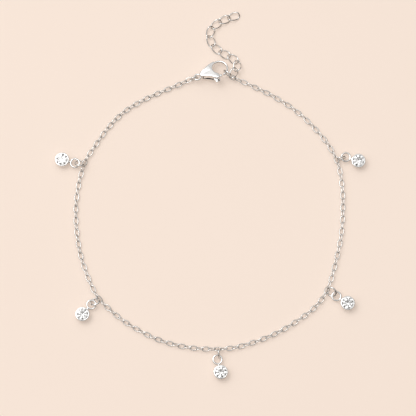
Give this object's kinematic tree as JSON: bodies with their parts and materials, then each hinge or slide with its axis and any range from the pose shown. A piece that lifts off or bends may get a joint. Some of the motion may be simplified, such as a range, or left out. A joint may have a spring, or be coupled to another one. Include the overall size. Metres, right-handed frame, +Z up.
{
  "type": "charm anklet",
  "caption": "Fine cable-chain anklet with round bezel-set clear stone charms, a lobster clasp and a link extender, lying open as a loop.",
  "frame": {"origin": "middle of the whole anklet with its extender, on the surface that it lies on", "axes": "+Z up from the surface, +Y from the loop towards the clasp and extender, +X to the right seen from above"},
  "size_m": [0.0856, 0.104, 0.0038],
  "materials": {
    "silver": "bright polished silver",
    "stone": "clear faceted crystal"
  },
  "bodies": {
    "anklet": {"chain_run_1": "silver", "chain_run_2": "silver", "chain_run_3": "silver", "chain_run_4": "silver", "chain_run_5": "silver", "chain_run_6": "silver", "chain_end_link_1": "silver", "chain_end_link_2": "silver", "charm_link_1": "silver", "charm_link_2": "silver", "charm_link_3": "silver", "charm_link_4": "silver", "charm_link_5": "silver", "charm_jump_ring_1": "silver", "charm_jump_ring_2": "silver", "charm_jump_ring_3": "silver", "charm_jump_ring_4": "silver", "charm_jump_ring_5": "silver", "charm_setting_1": "silver", "charm_setting_2": "silver", "charm_setting_3": "silver", "charm_setting_4": "silver", "charm_setting_5": "silver", "charm_stone_1": "stone", "charm_stone_2": "stone", "charm_stone_3": "stone", "charm_stone_4": "stone", "charm_stone_5": "stone", "clasp_body": "silver", "clasp_pin": "silver", "clasp_jump_ring": "silver", "end_jump_ring": "silver", "extender_link_1": "silver", "extender_link_2": "silver", "extender_link_3": "silver", "extender_link_4": "silver", "extender_link_5": "silver", "extender_link_6": "silver", "extender_link_7": "silver", "extender_link_8": "silver", "extender_link_9": "silver", "extender_link_10": "silver"},
    "lever": {"clasp_lever": "silver"}
  },
  "joints": [
    {"name": "lever_hinge", "type": "hinge", "parent": "anklet", "child": "lever", "pos_m": [-0.00081, 0.03328, 0.00192], "axis": [-0.099, 0.2391, 0.9659], "range_deg": [0, 18], "stiffness_Nm_per_rad": 0.004, "springref_deg": -28.65}
  ]
}
